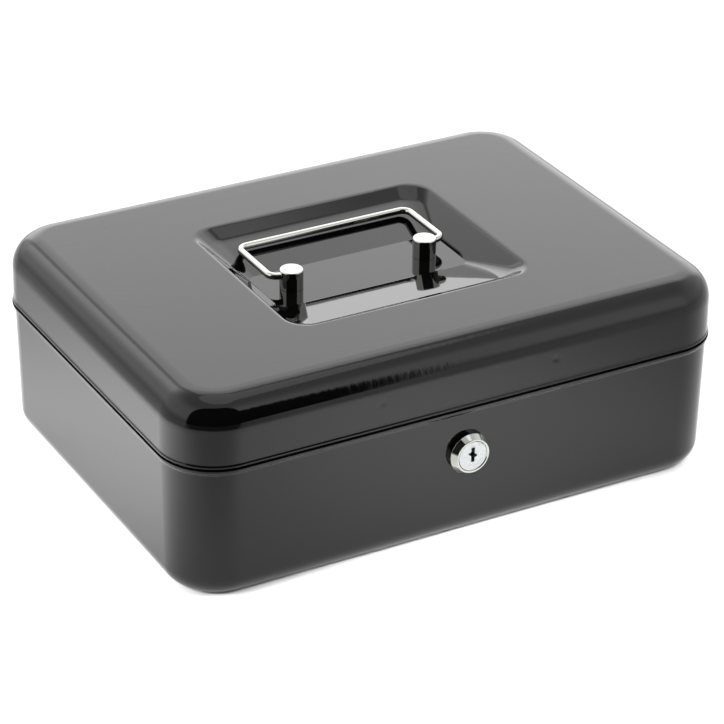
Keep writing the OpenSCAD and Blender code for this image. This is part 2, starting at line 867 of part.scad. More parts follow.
module post_screws() {
    reach = post_washer_t + sheet + post_screw_reach;
    color([0.75, 0.75, 0.77])
    for (x = [-post_x, post_x])
        translate([x, 0, head_top])
            pan_screw(post_screw_d, reach, post_screw_head_d, post_screw_head_h);
}

// A straight length of the handle's wire along +X
module wire_along(length) {
    rotate([0, 90, 0]) cylinder(r = wire_r, h = length);
}

// A quarter bend of the wire, from +X to +Y round its own centre
module wire_bend() {
    rotate_extrude(angle = 90) translate([bend_r, 0]) circle(wire_r);
}

// Half of the handle, from the middle of the grip bar into one post
module half_bail() {
    end_x = post_x + post_d / 2 - wire_in_post;
    translate([end_x, 0, 0]) wire_along(leg_x - bend_r - end_x);
    translate([leg_x - bend_r, bend_r, 0]) rotate([0, 0, -90]) wire_bend();
    translate([leg_x, bend_r, 0]) rotate([0, 0, 90]) wire_along(bail_reach - 2 * bend_r);
    translate([leg_x - bend_r, bail_reach - bend_r, 0]) wire_bend();
    translate([0, bail_reach, 0]) wire_along(leg_x - bend_r);
}

module handle_bail() {
    color([0.85, 0.85, 0.86])
    translate([0, 0, wire_z]) {
        half_bail();
        mirror([1, 0, 0]) half_bail();
    }
}

// ---- Coin tray ----

// Room of a scoop: part of a cylinder that lies along X and meets the deck's top at its ends
module scoop(x0, x1, length, depth) {
    r = (length * length / 4 + depth * depth) / (2 * depth);
    intersection() {
        translate([x0, 0, deck_top - depth + r]) rotate([0, 90, 0]) cylinder(r = r, h = x1 - x0);
        translate([x0 - 1, -length, deck_top - depth - 1]) cube([x1 - x0 + 2, 2 * length, depth + 1]);
    }
}

// Outside of a scoop: the same form, thicker by the tray's wall
module scoop_skin(x0, x1, length, depth) {
    r = (length * length / 4 + depth * depth) / (2 * depth);
    intersection() {
        translate([x0 - tray_wall, 0, deck_top - depth + r])
            rotate([0, 90, 0]) cylinder(r = r + tray_wall, h = x1 - x0 + 2 * tray_wall);
        translate([x0 - 2 * tray_wall, -length, deck_top - depth - 2 * tray_wall])
            cube([x1 - x0 + 4 * tray_wall, 2 * length, depth + 2 * tray_wall]);
    }
}

module tray_outline() {
    translate([0, (tray_rear - tray_front) / 2])
        rounded_rect(2 * tray_x, tray_rear + tray_front, tray_corner_r);
}

// The deck's outline, with the cut-out for the lock
module tray_plan() {
    difference() {
        tray_outline();
        translate([-notch_left, -tray_front - 1])
            square([notch_left + notch_right, notch_y + tray_front + 1]);
    }
}

module coin_tray() {
    color([0.1, 0.1, 0.11])
    difference() {
        union() {
            translate([0, 0, deck_z]) linear_extrude(deck_t) tray_plan();
            translate([0, 0, deck_top - eps])
                linear_extrude(tray_edge_h)
                    difference() {
                        tray_outline();
                        translate([0, (tray_rear - tray_front) / 2])
                            rounded_rect(
                                2 * (tray_x - tray_wall),
                                tray_rear + tray_front - 2 * tray_wall,
                                tray_corner_r - tray_wall
                            );
                        translate([-notch_left, -tray_front - 1])
                            square([notch_left + notch_right, tray_front]);
                    }
            translate([0, trough_y, 0]) scoop_skin(-row_x, row_x, trough_len, cup_depth);
            translate([0, cup_y, 0]) scoop_skin(-row_x, row_x, cup_len, cup_depth);
        }
        translate([0, trough_y, 0]) scoop(-row_x, row_x, trough_len, cup_depth + eps);
        for (i = [0 : cups - 1])
            translate([-row_x + i * cup_step, cup_y, 0])
                scoop(0, cup_step - tray_wall, cup_len, cup_depth + eps);
        for (x = [-tray_x, tray_x])
            translate([x, cup_y - cup_len / 2 - 1, deck_z - 1])
                cylinder(r = finger_r, h = deck_t + tray_edge_h + 2);
    }
}

base_shell();
rim_frame();
lock_housing();
lock_nut();
lock_washer();
lock_plug();
lock_wafers();
wafer_springs();
lock_cam();
cam_washer();
cam_screw();
hinge_leaf_base();
hinge_leaf_lid();
hinge_pin();
lid_shell();
striker_plate();
handle_post_left();
handle_post_right();
post_washers();
post_screws();
handle_bail();
coin_tray();
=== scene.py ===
import json
import math
from itertools import product

import bpy
from mathutils import Matrix, Vector


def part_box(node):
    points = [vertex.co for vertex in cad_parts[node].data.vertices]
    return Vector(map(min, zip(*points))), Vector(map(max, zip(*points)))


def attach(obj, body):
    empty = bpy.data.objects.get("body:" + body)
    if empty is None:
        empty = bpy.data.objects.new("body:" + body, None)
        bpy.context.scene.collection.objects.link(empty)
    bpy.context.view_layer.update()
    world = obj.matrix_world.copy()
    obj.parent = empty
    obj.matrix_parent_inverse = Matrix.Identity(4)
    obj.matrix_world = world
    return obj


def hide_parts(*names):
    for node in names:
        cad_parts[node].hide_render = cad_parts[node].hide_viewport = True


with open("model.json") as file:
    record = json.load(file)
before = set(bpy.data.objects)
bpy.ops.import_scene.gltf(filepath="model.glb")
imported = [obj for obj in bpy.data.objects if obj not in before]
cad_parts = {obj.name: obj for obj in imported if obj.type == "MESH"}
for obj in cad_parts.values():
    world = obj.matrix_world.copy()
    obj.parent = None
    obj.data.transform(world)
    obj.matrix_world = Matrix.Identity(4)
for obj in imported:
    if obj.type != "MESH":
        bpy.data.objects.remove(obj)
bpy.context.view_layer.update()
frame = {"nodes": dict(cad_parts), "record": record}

MM = 0.001

# ---- Camera -------------------------------------------------------------------------------------

CAMERA_AT = Vector((-0.55246, -0.99111, 0.65105))
CAMERA_FORWARD = Vector((0.42935, 0.76706, -0.47673))
CAMERA_UP = Vector((0.22079, 0.42269, 0.87897))
LENS = 152.29
SENSOR = 36.0


def add_camera():
    """The viewing angle of the photograph, solved from the edges of the box."""
    data = bpy.data.cameras.new("camera")
    data.lens = LENS
    data.sensor_width = SENSOR
    camera = bpy.data.objects.new("camera", data)
    bpy.context.scene.collection.objects.link(camera)
    right = CAMERA_FORWARD.cross(CAMERA_UP).normalized()
    up = right.cross(CAMERA_FORWARD).normalized()
    back = -CAMERA_FORWARD.normalized()
    camera.matrix_world = Matrix.LocRotScale(CAMERA_AT, Matrix((right, up, back)).transposed(), None)
    bpy.context.scene.camera = camera


add_camera()

# ---- Sizes, in metres, read from the frame where it has them ------------------------------------

lid_low, lid_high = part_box("lid_shell")
base_low, base_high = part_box("base_shell")
post_low, post_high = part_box("handle_post_left")
bail_low, bail_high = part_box("handle_bail")
lock_low, lock_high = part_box("lock_housing")
pin_low, pin_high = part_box("hinge_pin")

SHEET = 1.0 * MM
EDGE_ROUND = 0.25 * MM        # rounding of the sheet's cut edges
DRAFT = math.radians(0.9)
CORNER_R = 24.5 * MM          # corner radius over the rim of the base
CORNER_X = base_high.x - CORNER_R
CORNER_Y = -base_low.y - CORNER_R

# The lid's wall and its rolled edge
LID_EDGE = lid_low.z
LID_TOP = lid_high.z
LID_FILLET = 13.0 * MM
LID_ROLL = 0.3 * MM
LID_R = lid_high.x - CORNER_X - LID_ROLL
# Heights over the edge, each with the share of the roll that stands out there
ROLL_SHAPE = [(0, 1), (0.3 * MM, 1), (0.6 * MM, 0.97), (0.85 * MM, 0.68), (1.1 * MM, 0.25), (1.4 * MM, 0)]
ABOVE_ROLL = 2.6 * MM         # height of the first ring over the roll

# The base's wall and its flared rim
BASE_FILLET = 9.0 * MM
RIM_FLARE = 1.1 * MM
RIM_H = 2.2 * MM
RIM_TOP = base_high.z
RIM_BEND = RIM_TOP - RIM_H
RIM_BAND = 6.0 * MM           # height of the wall that belongs to the rim's section
RIM_ROUNDS = [0.45 * MM, 0.6 * MM]      # lengths rounded off at the flare's two kinks

# The notch that both shells have behind the hinge
HINGE_Z = (pin_low.z + pin_high.z) / 2
NOTCH_X = pin_high.x + 0.4 * MM
NOTCH_END = 0.05 * MM         # width of the mesh's slope at each end of the notch
NOTCH_RISE = 2.95 * MM        # how far it reaches above and below the pin's axis
NOTCH_BAND = 5.0 * MM         # height of the lid's wall whose rings are drawn together above it

# The well in the lid
WELL_X = 55.5 * MM
WELL_FRONT = -49.3 * MM
WELL_REAR = 48.1 * MM
WELL_R = 11.0 * MM
KNEE_FRONT = -43.5 * MM
KNEE_REAR = 40.0 * MM
KNEE_Z = 84.53 * MM
KNEE_R = 9.0 * MM
FLOOR_X = 44.3 * MM
FLOOR_FRONT = -15.0 * MM
FLOOR_REAR = 15.4 * MM
FLOOR_R = 4.0 * MM
FLOOR_Z = post_low.z
FLOOR_INSET = 5.0 * MM        # distance from the floor's edge to the last ring
FLOOR_INSET_R = 1.5 * MM
# Lengths rounded off at the well's rim, knee and floor edge
WELL_ROUNDS = [1.3 * MM, 1.8 * MM, 0.18 * MM]

# The panel pressed into the bottom
PANEL_X = 93.0 * MM
PANEL_Y = 61.0 * MM
PANEL_R = 14.0 * MM
PANEL_RISE = 1.2 * MM
PANEL_SLOPE = 1.0 * MM        # width of its sloping edge
PANEL_INSET = 3.0 * MM        # distance from its outline to the last ring
PANEL_ROUND = 0.6 * MM

# Spot welds that show on the front of the lid
WELD_X = 39.7 * MM
WELD_Z = 71.4 * MM
WELD_R = 2.3 * MM
WELD_DEPTH = 0.16 * MM
WELD_MESH = 1.25 * WELD_R     # how far the fine mesh reaches round a weld

# Columns and rings of the meshes
CORNER_STEPS = 24
LID_FILLET_STEPS = 18
BASE_FILLET_STEPS = 14
WELD_STEPS = 14
WIRE_SIDES = 40
WIRE_BEND_STEPS = 10
TURNED_STEPS = 96
LID_FRONT = [-75 * MM, 0, 75 * MM]
BASE_FRONT = [-50 * MM, 0, 50 * MM]
REAR_X = 40 * MM
SIDE_SHARES = [-0.5, 0, 0.5]
NEAR_KINK = 0.5 * MM          # a ring this far from a kink keeps the flat beside it flat


# ---- Small tools --------------------------------------------------------------------------------


def span(low, high, count):
    """Evenly spaced values from low to high, in a count of steps."""
    return [low + (high - low) * k / count for k in range(count + 1)]


def add_mesh(name, points, faces, body, node):
    """A smooth-shaded mesh piece that rides on a body and stands for a node."""
    mesh = bpy.data.meshes.new(name)
    mesh.from_pydata([tuple(p) for p in points], [], faces)
    mesh.validate()
    mesh.polygons.foreach_set("use_smooth", [True] * len(mesh.polygons))
    piece = bpy.data.objects.new(name, mesh)
    bpy.context.scene.collection.objects.link(piece)
    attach(piece, body)
    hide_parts(node)
    return piece


def keep_flats(piece):
    """Lets the large faces set the normals, so that rounded edges leave the flats beside them flat."""
    flats = piece.modifiers.new("flats", "WEIGHTED_NORMAL")
    flats.weight = 80


def round_corner(before, here, after, setback, steps):
    """A short parabola in place of a corner, tangent to both of its sides."""
    start = here + (before - here).normalized() * setback
    end = here + (after - here).normalized() * setback
    return [start * (1 - t) ** 2 + here * 2 * t * (1 - t) + end * t**2 for t in span(0, 1, steps)]


def smooth_kinks(line, setbacks, steps):
    """Rounds each inner corner of a polyline."""
    rounded = [line[0]]
    for before, here, after, setback in zip(line, line[1:], line[2:], setbacks):
        rounded += round_corner(before, here, after, setback, steps)
    return rounded + [line[-1]]


# ---- Shells -------------------------------------------------------------------------------------


def plan_columns(front_x, rear_x):
    """Places round a rounded rectangle, counter-clockwise from its front edge.

    Each is (u, v, angle): u and v run from -1 to 1 between the corner centres, and angle points outward.
    """
    front, rear = ([x / CORNER_X for x in sorted(places)] for places in (front_x, rear_x))
    corner = span(0, math.pi / 2, CORNER_STEPS)
    edges = [
        ([(x, -1) for x in front], -90, (1, -1)),
        ([(1, y) for y in SIDE_SHARES], 0, (1, 1)),
        ([(x, 1) for x in reversed(rear)], 90, (-1, 1)),
        ([(-1, y) for y in reversed(SIDE_SHARES)], 180, (-1, -1)),
    ]
    columns = []
    for places, facing, (u, v) in edges:
        angle = math.radians(facing)
        columns += [(x, y, angle) for x, y in places]
        columns += [(u, v, angle + turn) for turn in corner]
    return columns


def on_outline(column, half_x, front, rear, radius, z):
    """Where a column meets a rounded rectangle that is centred from left to right."""
    u, v, angle = column
    x = u * (half_x - radius) + radius * math.cos(angle)
    y = (front + rear) / 2 + v * ((rear - front) / 2 - radius) + radius * math.sin(angle)
    return Vector((x, y, z))


def on_panel(column, inset, z):
    """Where a column meets the outline of the bottom's panel, drawn in by an inset."""
    half_y = PANEL_Y - inset
    return on_outline(column, PANEL_X - inset, -half_y, half_y, PANEL_R - inset, z)


def on_shell(column, radius, z):
    """Where a column meets a ring of the shells, at a distance from the corner centres."""
    u, v, angle = column
    return Vector((u * CORNER_X + radius * math.cos(angle), v * CORNER_Y + radius * math.sin(angle), z))


def in_notch(column):
    """True behind the hinge, where the shells are cut away for its knuckles."""
    u, v, _ = column
    return v == 1 and abs(u) * CORNER_X < NOTCH_X


def fillet(foot_r, radius, steps):
    """An arc from a drafted wall to a flat: pairs of (radius, rise over the arc's centre)."""
    centre_r = foot_r + radius * math.tan(DRAFT) - radius / math.cos(DRAFT)
    return [(centre_r + radius * math.cos(a), radius * math.sin(a)) for a in span(DRAFT, math.pi / 2, steps)]


def add_shell(name, columns, make_column, body, node):
    """Lofts the columns into one sheet, closes its middle with a flat face and gives it its thickness."""
    lines = [make_column(column) for column in columns]
    rings = len(lines[0])
    points = [point for line in lines for point in line]
    faces = []
    for c, k in product(range(len(lines)), range(rings - 1)):
        a, b = c * rings + k, (c + 1) % len(lines) * rings + k
        faces.append((a, b, b + 1, a + 1))
    faces.append(tuple(c * rings + rings - 1 for c in range(len(lines))))
    piece = add_mesh(name, points, faces, body, node)
    thick = piece.modifiers.new("sheet", "SOLIDIFY")
    thick.thickness = SHEET
    thick.offset = -1
    thick.use_even_offset = True
    edges = piece.modifiers.new("edges", "BEVEL")
    edges.width = EDGE_ROUND
    edges.segments = 2
    edges.limit_method = "ANGLE"
    edges.angle_limit = math.radians(60)
    keep_flats(piece)
    return piece


def rear_places():
    """Places along the rear: close together at the ends of the notch."""
    inner = NOTCH_X - NOTCH_END
    return [-NOTCH_X, -inner, -REAR_X, 0, REAR_X, inner, NOTCH_X]


def weld_grid():
    """Offsets of the fine mesh round a spot weld."""
    return span(-WELD_MESH, WELD_MESH, WELD_STEPS)


def weld_sink(point):
    """How far the sheet is drawn in by the spot welds."""
    sink = 0.0
    for x in (-WELD_X, WELD_X):
        away = math.hypot(point.x - x, point.z - WELD_Z) / WELD_R
        if away < 1:
            sink += WELD_DEPTH * (1 - away**2) ** 2
    return sink


def lid_wall(column):
    """Section of the lid from its rolled edge to the flat of its top: rings of (radius, height).

    In the notch there is no roll, and the lowest rings are drawn together above it.
    """
    band_top = LID_EDGE + NOTCH_BAND
    squeeze = (band_top - HINGE_Z - NOTCH_RISE) / NOTCH_BAND
    levels = [(LID_EDGE + rise, roll) for rise, roll in ROLL_SHAPE]
    levels += [(LID_EDGE + ABOVE_ROLL, 0), (band_top, 0)]
    levels += [(WELD_Z + rise, 0) for rise in weld_grid()]
    rings = []
    for z, roll in levels:
        if in_notch(column):
            z = max(z, band_top - (band_top - z) * squeeze)
            roll = 0
        rings.append((LID_R - (z - LID_EDGE) * math.tan(DRAFT) + LID_ROLL * roll, z))
    top_r = LID_R - (LID_TOP - LID_EDGE) * math.tan(DRAFT)
    arc = fillet(top_r, LID_FILLET, LID_FILLET_STEPS)
    return rings + [(radius, LID_TOP - LID_FILLET + rise) for radius, rise in arc]


def lid_column(column):
    """All points of one column of the lid, from its lower edge to the floor of the well."""
    points = []
    for radius, z in lid_wall(column):
        point = on_shell(column, radius, z)
        if column[1] == -1 and point.y < -CORNER_Y - LID_FILLET:
            point.y += weld_sink(point)
        points.append(point)
    flat = points[-1]
    knee_x = WELL_X - (WELL_X - FLOOR_X) * (LID_TOP - KNEE_Z) / (LID_TOP - FLOOR_Z)
    inset_front, inset_rear = FLOOR_FRONT + FLOOR_INSET, FLOOR_REAR - FLOOR_INSET
    rim = on_outline(column, WELL_X, WELL_FRONT, WELL_REAR, WELL_R, LID_TOP)
    knee = on_outline(column, knee_x, KNEE_FRONT, KNEE_REAR, KNEE_R, KNEE_Z)
    corner = on_outline(column, FLOOR_X, FLOOR_FRONT, FLOOR_REAR, FLOOR_R, FLOOR_Z)
    floor = on_outline(column, FLOOR_X - FLOOR_INSET, inset_front, inset_rear, FLOOR_INSET_R, FLOOR_Z)
    line = smooth_kinks([flat, rim, knee, corner, floor], WELL_ROUNDS, steps=6)
    near_fillet = flat.lerp(rim, NEAR_KINK / (rim - flat).length)
    near_rim = rim + (flat - rim).normalized() * (WELL_ROUNDS[0] + NEAR_KINK)
    return points + [near_fillet, near_rim] + line[1:]


def base_wall(column):
    """Section of the base from its rim to the flat of its bottom: rings of (radius, height).

    In the notch there is no flare, and the rim's rings are drawn together below it.
    """
    wall_r = CORNER_R - RIM_FLARE
    low = RIM_BEND - RIM_BAND
    rim = [
        Vector((CORNER_R, RIM_TOP)),
        Vector((CORNER_R, RIM_BEND + RIM_FLARE)),
        Vector((wall_r, RIM_BEND)),
        Vector((wall_r - RIM_BAND * math.tan(DRAFT), low)),
    ]
    rings = [tuple(p) for p in smooth_kinks(rim, RIM_ROUNDS, steps=4)]
    if in_notch(column):
        squeeze = (HINGE_Z - NOTCH_RISE - low) / (RIM_TOP - low)
        heights = [low + (z - low) * squeeze for _, z in rings]
        rings = [(wall_r - (RIM_BEND - z) * math.tan(DRAFT), z) for z in heights]
    arc = fillet(wall_r - RIM_BEND * math.tan(DRAFT), BASE_FILLET, BASE_FILLET_STEPS)
    return rings + [(radius, BASE_FILLET - rise) for radius, rise in arc]


def base_column(column):
    """All points of one column of the base, from its rim to the panel in its bottom."""
    points = [on_shell(column, radius, z) for radius, z in base_wall(column)]
    flat = points[-1]
    edge = on_panel(column, 0, 0)
    step = on_panel(column, PANEL_SLOPE, PANEL_RISE)
    panel = on_panel(column, PANEL_INSET, PANEL_RISE)
    line = smooth_kinks([flat, edge, step, panel], [PANEL_ROUND, PANEL_ROUND], steps=3)
    near_fillet = flat.lerp(edge, NEAR_KINK / (edge - flat).length)
    return points + [near_fillet] + line[1:]


def add_lid():
    front = LID_FRONT + [x + dx for x in (-WELD_X, WELD_X) for dx in weld_grid()]
    columns = plan_columns(front, rear_places())
    return add_shell("lid_skin", columns, lid_column, "lid", "lid_shell")


def add_base():
    """The columns are taken backwards because they run down, and those of the lid run up."""
    columns = plan_columns(BASE_FRONT, rear_places())
    return add_shell("base_skin", columns[::-1], base_column, "base", "base_shell")


# ---- Handle -------------------------------------------------------------------------------------

WIRE_R = (bail_high.z - bail_low.z) / 2
WIRE_Z = (bail_high.z + bail_low.z) / 2
LEG_X = bail_high.x - WIRE_R
GRIP_Y = bail_high.y - WIRE_R
BEND_R = 4.0 * MM
WIRE_END_X = 32.6 * MM


def tube(route, radius, sides):
    """Points and faces of a closed tube along a flat route in a level plane."""
    up = Vector((0, 0, 1))
    points, faces = [], []
    for k, here in enumerate(route):
        before, after = route[max(k - 1, 0)], route[min(k + 1, len(route) - 1)]
        side = (after - before).normalized().cross(up)
        for s in range(sides):
            turn = 2 * math.pi * s / sides
            points.append(here + radius * (side * math.cos(turn) + up * math.sin(turn)))
    for k, s in product(range(len(route) - 1), range(sides)):
        a, b = k * sides + s, k * sides + (s + 1) % sides
        faces.append((a, a + sides, b + sides, b))
    faces.append(tuple(range(sides)))
    faces.append(tuple(len(points) - 1 - s for s in range(sides)))
    return points, faces


def bail_route():
    """The wire's centre line, from inside the right post round to the left one."""
    x, y = LEG_X - BEND_R, GRIP_Y - BEND_R
    bend = [(BEND_R * math.sin(a), BEND_R * math.cos(a)) for a in span(0, math.pi / 2, WIRE_BEND_STEPS)]
    low = [Vector((x + s, BEND_R - c, WIRE_Z)) for s, c in bend]
    high = [Vector((x + c, y + s, WIRE_Z)) for s, c in bend]
    half = [Vector((WIRE_END_X, 0, WIRE_Z))] + low + high
    return half + [Vector((-p.x, p.y, p.z)) for p in reversed(half)]


def add_bail():
    points, faces = tube(bail_route(), WIRE_R, WIRE_SIDES)
    return add_mesh("handle_wire", points, faces, "handle", "handle_bail")


# ---- Turned pieces ------------------------------------------------------------------------------

# Lock housing: a straight foot, a cone, a narrow face ring, the bore and the barrel
BEZEL_R = (lock_high.z - lock_low.z) / 2
BEZEL_H = 4.4 * MM
BEZEL_FOOT = 1.9 * MM
CONE_R = 7.42 * MM            # where the cone ends
CONE_DROP = 0.12 * MM         # how far under the face it ends
RING_R = 7.22 * MM            # outer radius of the face ring
RING_BORE_R = 6.72 * MM       # and its inner radius, where the chamfer into the bore starts
RING_CHAMFER = 0.5 * MM       # depth of that chamfer
FACE_BORE_R = 6.35 * MM
FACE_BORE_DEPTH = 2.95 * MM
BORE_R = 5.8 * MM
BARREL_R = 8.0 * MM
BARREL_LEN = 15.0 * MM
LOCK_Z = (lock_low.z + lock_high.z) / 2
LOCK_Y = lock_low.y + BEZEL_H

# Handle post: a slightly dished top, a rounded rim and a blind hole for its screw
POST_R = (post_high.x - post_low.x) / 2
POST_H = post_high.z - post_low.z
DISH_DEPTH = 0.14 * MM
DISH_FLAT_R = 2.2 * MM        # the dish is nearly flat out to here
DISH_FLAT_DEPTH = 0.12 * MM
DISH_R = 3.9 * MM             # and rises to its edge here
POST_RIM_R = 4.65 * MM
POST_RIM_DROP = 0.38 * MM
SCREW_HOLE_R = 2.02 * MM
SCREW_HOLE = 3.9 * MM


def round_corners(corners):
    """A profile of (radius, height) pairs, from corners of (radius, height, millimetres to round off)."""
    n = len(corners)
    profile = []
    for k, (radius, height, setback) in enumerate(corners):
        here = Vector((radius, height))
        if setback == 0:
            profile.append(here)
            continue
        before, after = (Vector(corners[(k + d) % n][:2]) for d in (-1, 1))
        profile += round_corner(before, here, after, setback * MM, steps=4)
    return [tuple(p) for p in profile]


def add_turned(name, corners, closed, place, body, node):
    """A turned piece. An open profile starts and ends on the axis."""
    profile = round_corners(corners)
    n = len(profile)
    points = []
    for turn in span(0, 2 * math.pi, TURNED_STEPS)[:-1]:
        points += [place(r * math.cos(turn), r * math.sin(turn), h) for r, h in profile]
    faces = []
    for k, i in product(range(TURNED_STEPS), range(n if closed else n - 1)):
        a, b = k * n + i, k * n + (i + 1) % n
        c, d = (k + 1) % TURNED_STEPS * n + i, (k + 1) % TURNED_STEPS * n + (i + 1) % n
        if not closed and i == 0:
            faces.append((0, d, b))
        elif not closed and i == n - 2:
            faces.append((a, c, n - 1))
        else:
            faces.append((a, c, d, b))
    piece = add_mesh(name, points, faces, body, node)
    keep_flats(piece)
    return piece


def add_bezel():
    """The lock's housing. Heights run outward from the front wall of the base."""
    corners = [
        (BEZEL_R, 0, 0.05),
        (BEZEL_R, BEZEL_FOOT, 0.12),
        (CONE_R, BEZEL_H - CONE_DROP, 0.14),
        (RING_R, BEZEL_H, 0.1),
        (RING_BORE_R, BEZEL_H, 0.06),
        (FACE_BORE_R, BEZEL_H - RING_CHAMFER, 0.06),
        (FACE_BORE_R, BEZEL_H - FACE_BORE_DEPTH, 0),
        (BORE_R, BEZEL_H - FACE_BORE_DEPTH, 0.05),
        (BORE_R, -BARREL_LEN, 0.1),
        (BARREL_R, -BARREL_LEN, 0.3),
        (BARREL_R, 0, 0),
    ]

    def place(across, up, height):
        return Vector((across, LOCK_Y - height, LOCK_Z + up))

    return add_turned("lock_bezel", corners, True, place, "base", "lock_housing")


def add_post(name, node):
    """A handle post that stands on the floor of the well."""
    low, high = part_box(node)
    middle = (low + high) / 2
    corners = [
        (0, POST_H - DISH_DEPTH, 0),
        (DISH_FLAT_R, POST_H - DISH_FLAT_DEPTH, 1.2),
        (DISH_R, POST_H, 0.5),
        (POST_RIM_R, POST_H, 0.15),
        (POST_R, POST_H - POST_RIM_DROP, 0.15),
        (POST_R, 0, 0.12),
        (SCREW_HOLE_R, 0, 0.1),
        (SCREW_HOLE_R, SCREW_HOLE, 0),
        (0, SCREW_HOLE, 0),
    ]

    def place(across, back, height):
        return Vector((middle.x + across, middle.y - back, low.z + height))

    return add_turned(name, corners, False, place, "lid", node)


# ---- Finishes -----------------------------------------------------------------------------------

PAINT_IOR = 1.38              # under enamel's 1.5, in a room made brighter to match

# The draw marks on the lid's outer fillet, in millimetres. They fade in between two heights, and outward
# from these distances to the right and left, and to the front and rear.
MARKS_FROM_Z, MARKS_TO_Z = 74, 78
MARKS_X, MARKS_Y = 95, 66
MARKS_FADE = 4
MARKS_ELSEWHERE = 0.12        # their strength off the fillet


class Nodes:
    """Short ways to add nodes to a tree."""

    def __init__(self, tree):
        self.tree = tree

    def add(self, kind, inputs, operation=None):
        """A node whose inputs are values or other nodes' sockets."""
        node = self.tree.nodes.new(kind)
        if operation:
            node.operation = operation
        for key, value in inputs.items():
            if isinstance(value, bpy.types.NodeSocket):
                self.tree.links.new(value, node.inputs[key])
            else:
                node.inputs[key].default_value = value
        return node

    def calc(self, operation, a, b=0.0):
        return self.add("ShaderNodeMath", {0: a, 1: b}, operation).outputs[0]

    def product(self, first, *others):
        for other in others:
            first = self.calc("MULTIPLY", first, other)
        return first

    def without(self, shape):
        """1 where a shape is 0, and 0 where it is 1."""
        return self.calc("SUBTRACT", 1.0, shape)


class Finish(Nodes):
    """A procedural material. Lengths in its textures are in millimetres."""

    def __init__(self, name, colour, metallic, roughness):
        self.material = bpy.data.materials.new(name)
        self.material.use_nodes = True
        super().__init__(self.material.node_tree)
        self.shader = self.tree.nodes["Principled BSDF"]
        self.shader.inputs["Base Color"].default_value = (*colour, 1)
        self.shader.inputs["Metallic"].default_value = metallic
        self.shader.inputs["Roughness"].default_value = roughness
        metres = self.tree.nodes.new("ShaderNodeTexCoord").outputs["Object"]
        self.place = self.add("ShaderNodeVectorMath", {0: metres, "Scale": 1 / MM}, "SCALE").outputs[0]
        self.normal = None

    def stretched(self, scale):
        """Coordinates scaled by a different factor along each axis."""
        return self.add("ShaderNodeVectorMath", {0: self.place, 1: scale}, "MULTIPLY").outputs[0]

    def noise(self, scale, detail=2.0, roughness=0.5, where=None):
        inputs = {"Scale": scale, "Detail": detail, "Roughness": roughness, "Vector": where or self.place}
        return self.add("ShaderNodeTexNoise", inputs).outputs["Fac"]

    def to_range(self, source, low, high, from_low=0.3, from_high=0.7):
        inputs = {"From Min": from_low, "From Max": from_high, "To Min": low, "To Max": high}
        return self.add("ShaderNodeMapRange", {"Value": source, **inputs}).outputs["Result"]

    def along(self, axis):
        """Position along one axis of the piece."""
        return self.add("ShaderNodeSeparateXYZ", {0: self.place}).outputs[axis]

    def roughness(self, source):
        self.tree.links.new(source, self.shader.inputs["Roughness"])

    def bump(self, height, depth_mm):
        """Adds relief: a height of 1 stands depth_mm proud."""
        node = self.add("ShaderNodeBump", {"Strength": 1.0, "Distance": depth_mm * MM, "Height": height})
        if self.normal:
            self.tree.links.new(self.normal, node.inputs["Normal"])
        self.normal = node.outputs["Normal"]
        self.tree.links.new(self.normal, self.shader.inputs["Normal"])


def black_gloss_paint():
    """Smooth black enamel with a little haze. Upright draw marks show on the lid's outer fillet."""
    paint = Finish("black_gloss_paint", (0.0012, 0.0012, 0.0013), 0, 0.03)
    paint.shader.inputs["IOR"].default_value = PAINT_IOR
    paint.roughness(paint.to_range(paint.noise(0.03, detail=4, roughness=0.6), 0.022, 0.05))
    marks = paint.noise(1.0, where=paint.stretched((0.4, 0.4, 0.02)))
    past_x = paint.calc("SUBTRACT", paint.calc("ABSOLUTE", paint.along("X")), MARKS_X)
    past_y = paint.calc("SUBTRACT", paint.calc("ABSOLUTE", paint.along("Y")), MARKS_Y)
    high = paint.to_range(paint.along("Z"), 0, 1, MARKS_FROM_Z, MARKS_TO_Z)
    outer = paint.to_range(paint.calc("MAXIMUM", past_x, past_y), 0, 1, 0, MARKS_FADE)
    share = paint.calc("ADD", MARKS_ELSEWHERE, paint.product(high, outer, 1 - MARKS_ELSEWHERE))
    paint.bump(paint.product(marks, share), 0.017)
    paint.bump(paint.noise(0.25, roughness=0.4), 0.0015)
    return paint.material


def black_satin_paint():
    """The same black enamel where it was sprayed thin: satin, with orange peel."""
    paint = Finish("black_satin_paint", (0.006, 0.006, 0.0065), 0, 0.3)
    paint.roughness(paint.to_range(paint.noise(0.15, detail=3), 0.24, 0.36))
    paint.bump(paint.noise(1.6), 0.01)
    return paint.material


def tray_plastic():
    """Black moulded plastic with a fine grain."""
    plastic = Finish("tray_plastic", (0.012, 0.012, 0.013), 0, 0.45)
    plastic.roughness(plastic.to_range(plastic.noise(0.2, detail=3), 0.4, 0.52))
    plastic.bump(plastic.noise(3.0, detail=3, roughness=0.6), 0.03)
    return plastic.material


def plated(name, colour, roughness, grain=(1, 1, 1), depth=0.0006):
    """A bright metal coat with slight cloudiness and a fine grain that may run one way."""
    metal = Finish(name, colour, 1, roughness)
    metal.roughness(metal.to_range(metal.noise(0.4, detail=3), 0.8 * roughness, 1.3 * roughness))
    metal.bump(metal.noise(2.5, where=metal.stretched(grain)), depth)
    return metal.material


def satin_plug():
    """Cast plug, brushed upright and lightly mottled."""
    metal = Finish("satin_plug", (0.355, 0.375, 0.375), 1, 0.3)
    metal.roughness(metal.to_range(metal.noise(0.9, detail=3), 0.22, 0.42))
    metal.bump(metal.noise(3.0, where=metal.stretched((1, 1, 0.15))), 0.004)
    metal.bump(metal.noise(1.2), 0.008)
    return metal.material


